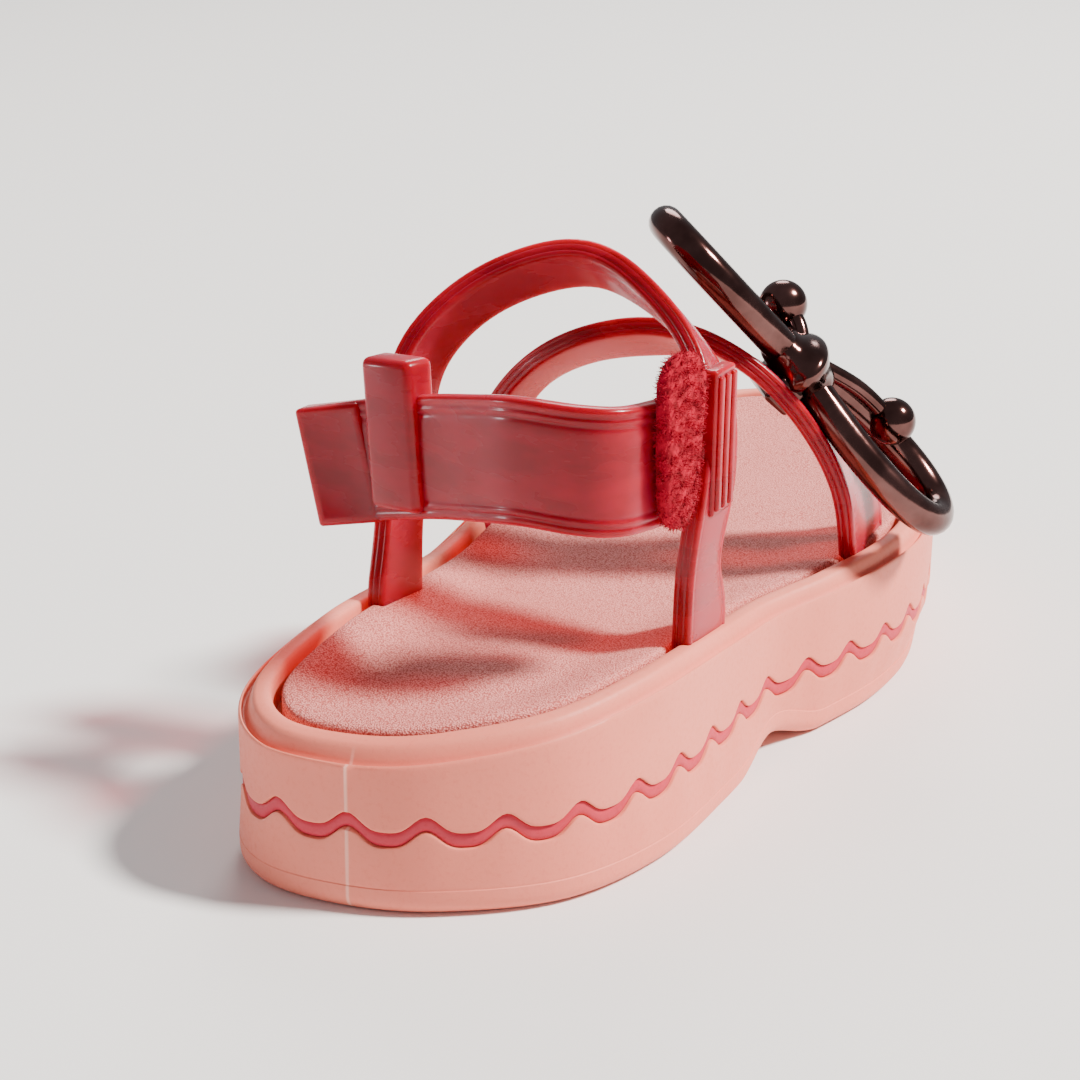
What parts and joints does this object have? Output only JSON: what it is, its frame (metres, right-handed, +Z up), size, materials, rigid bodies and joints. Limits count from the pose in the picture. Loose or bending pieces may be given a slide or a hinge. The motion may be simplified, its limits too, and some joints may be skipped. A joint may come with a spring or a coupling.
{
  "type": "jelly sandal",
  "caption": "Open sandal with a thick two-layer sole, an ankle hoop, a front hoop with a metal bow, and a heel strap with a hook-and-loop end.",
  "frame": {"origin": "middle of the flat spot under the heel, on the floor plane", "axes": "+Z up, +Y from the heel towards the toe, +X to the outer side of the right foot"},
  "size_m": [0.0742, 0.1713, 0.0747],
  "materials": {
    "sole": "satin salmon pink with fine speckle",
    "strip": "satin rose red",
    "insole": "matte, leather-like grain",
    "jelly": "glossy pearly translucent red",
    "fuzzy_pad": "fuzzy loop pile",
    "bow_metal": "dark rose-brown mirror plating"
  },
  "bodies": {
    "root": {"outsole": "sole", "midsole": "sole", "wave_strip": "strip", "insole": "insole", "ankle_hoop": "jelly", "front_hoop": "jelly", "heel_strap": "jelly", "hook_pad": "fuzzy_pad", "bow": "bow_metal"}
  },
  "joints": []
}
